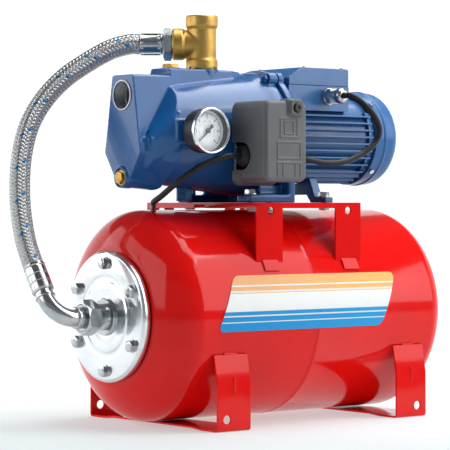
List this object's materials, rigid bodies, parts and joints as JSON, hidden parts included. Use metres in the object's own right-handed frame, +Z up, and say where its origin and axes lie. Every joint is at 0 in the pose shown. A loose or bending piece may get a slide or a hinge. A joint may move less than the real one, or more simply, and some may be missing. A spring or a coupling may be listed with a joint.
{
  "type": "shallow well jet pump set with membrane tank",
  "caption": "Self-priming jet pump and finned motor on a horizontal membrane tank, with brass tee, pressure gauge, pressure switch and braided hose.",
  "frame": {"origin": "on the floor, midway between the two feet, under the tank's axis", "axes": "+Z up, +X along the tank and motor axis towards the fan end, -Y the front side with gauge and pressure switch; the suction port faces -X"},
  "size_m": [0.5893, 0.4072, 0.509],
  "materials": {
    "red_paint": "glossy enamel on sheet steel",
    "blue_paint": "semi-gloss enamel on cast iron, fine cast grain",
    "blue_motor": "semi-gloss enamel on extruded and pressed metal",
    "blue_plastic": "moulded, semi-matt",
    "polished_steel": "bright pressed stainless steel",
    "plated_steel": "bright zinc plate",
    "dark_steel": "laminated electrical steel",
    "cast_brass": "satin, machined on the collars",
    "copper_wire": "enamelled winding",
    "alloy": "die cast",
    "braid": "woven steel wire over a rubber core",
    "black_rubber": "matt",
    "black_plastic": "moulded",
    "grey_plastic": "moulded, fine texture",
    "white_plastic": "moulded",
    "label_film": "printed film with plain coloured bands",
    "clear_glass": "clear window",
    "seal_ceramic": "lapped ceramic"
  },
  "bodies": {
    "pump_set": {"tank_front_shell": "red_paint", "tank_rear_shell": "red_paint", "tank_membrane": "black_rubber", "tank_flange": "polished_steel", "flange_bolts": "plated_steel", "flange_nipple": "plated_steel", "air_valve": "cast_brass", "foot_left": "red_paint", "foot_right": "red_paint", "platform": "red_paint", "tank_label": "label_film", "pump_body": "blue_paint", "ejector_nozzle": "cast_brass", "venturi_tube": "black_plastic", "diffuser": "black_plastic", "seal_seat": "seal_ceramic", "motor_bracket": "blue_paint", "casing_bolts": "plated_steel", "bearing_outer_rings": "polished_steel", "motor_frame": "blue_motor", "stator_core": "dark_steel", "stator_windings": "copper_wire", "rear_end_shield": "alloy", "fan_cover": "blue_motor", "cover_screws": "plated_steel", "motor_foot": "blue_motor", "terminal_box": "blue_plastic", "terminal_lid": "blue_plastic", "capacitor": "white_plastic", "cable_gland": "plated_steel", "mounting_bolts": "plated_steel", "delivery_tee": "cast_brass", "gauge_case": "black_plastic", "gauge_bezel": "polished_steel", "gauge_lens": "clear_glass", "gauge_dial": "white_plastic", "switch_base": "plated_steel", "switch_cover": "grey_plastic", "switch_cover_nut": "black_plastic", "switch_nipple": "cast_brass", "range_spring": "plated_steel", "cable_bushes": "black_rubber", "hose_elbow": "polished_steel", "hose_fittings": "polished_steel", "hose": "braid", "link_cable": "black_rubber", "mains_cable": "black_rubber", "mains_coil": "black_rubber", "mains_plug": "black_rubber"},
    "rotor": {"motor_shaft": "plated_steel", "impeller": "cast_brass", "seal_rotor": "dark_steel", "bearing_inner_rings": "polished_steel", "rotor_core": "dark_steel", "cooling_fan": "black_plastic"},
    "gauge_needle": {"gauge_needle": "black_plastic"},
    "switch_lever": {"switch_lever": "plated_steel"},
    "priming_plug": {"priming_plug": "cast_brass"},
    "drain_plug": {"drain_plug": "cast_brass"},
    "valve_cap": {"valve_cap": "black_plastic"}
  },
  "joints": [
    {"name": "rotor_spin", "type": "hinge", "parent": "pump_set", "child": "rotor", "pos_m": [0.05, 0, 0.359], "axis": [1, 0, 0], "continuous": true},
    {"name": "needle_turn", "type": "hinge", "parent": "pump_set", "child": "gauge_needle", "pos_m": [-0.15, -0.088, 0.361], "axis": [0, 1, 0], "range_deg": [0, 270], "stiffness_Nm_per_rad": 0.001},
    {"name": "lever_tilt", "type": "hinge", "parent": "pump_set", "child": "switch_lever", "pos_m": [-0.095, -0.094, 0.343], "axis": [0, -1, 0], "range_deg": [0, 4], "stiffness_Nm_per_rad": 2, "springref_deg": -2.86, "deforming": ["range_spring"]},
    {"name": "priming_plug_turn", "type": "hinge", "parent": "pump_set", "child": "priming_plug", "pos_m": [-0.141, 0, 0.445], "axis": [0, 0, 1], "continuous": true},
    {"name": "drain_plug_pull", "type": "slide", "parent": "pump_set", "child": "drain_plug", "axis": [-1, 0, 0], "range_m": [0, 0.03]},
    {"name": "valve_cap_pull", "type": "slide", "parent": "pump_set", "child": "valve_cap", "axis": [1, 0, 0], "range_m": [0, 0.025]}
  ]
}
